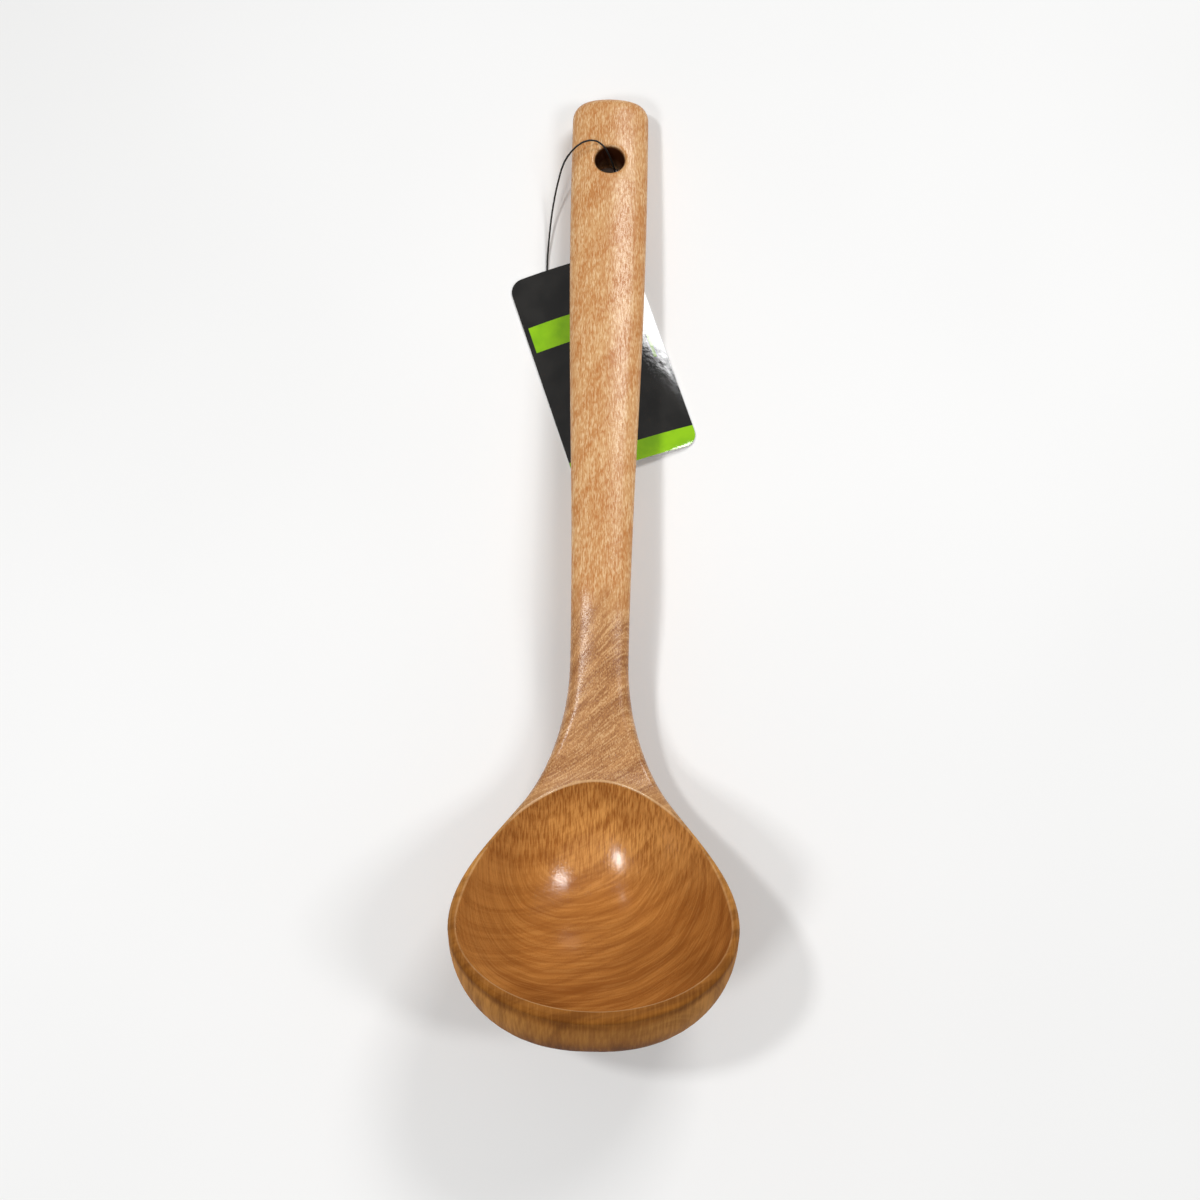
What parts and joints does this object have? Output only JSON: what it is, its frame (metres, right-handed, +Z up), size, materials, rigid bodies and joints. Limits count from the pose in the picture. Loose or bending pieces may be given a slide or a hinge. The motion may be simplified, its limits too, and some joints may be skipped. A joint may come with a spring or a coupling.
{
  "type": "wok spoon",
  "caption": "Carved wooden wok spoon with a deep round bowl, a bent neck and a flat handle drilled for hanging; a card hang tag is tied through the hole.",
  "frame": {"origin": "centre of the spoon's box on the table that it lies on", "axes": "+Y along the handle towards its end, +Z up out of the bowl, +X to the right of someone looking down with the handle away"},
  "size_m": [0.0864, 0.333, 0.0705],
  "materials": {
    "wood": "satin varnish",
    "card": "gloss print on card",
    "cord": "matt braid"
  },
  "bodies": {
    "spoon": {"spoon_body": "wood"},
    "string": {"tag_string": "cord", "string_knot": "cord"},
    "tag": {"hang_tag": "card"}
  },
  "joints": [
    {"name": "string_swing", "type": "hinge", "parent": "spoon", "child": "string", "pos_m": [0, 0.13922, 0], "axis": [0, 0, 1], "range_deg": [-28, 10]},
    {"name": "tag_swivel", "type": "hinge", "parent": "string", "child": "tag", "pos_m": [-0.0111, 0.09627, 0], "axis": [0, 0, 1], "range_deg": [-20, 30]}
  ]
}
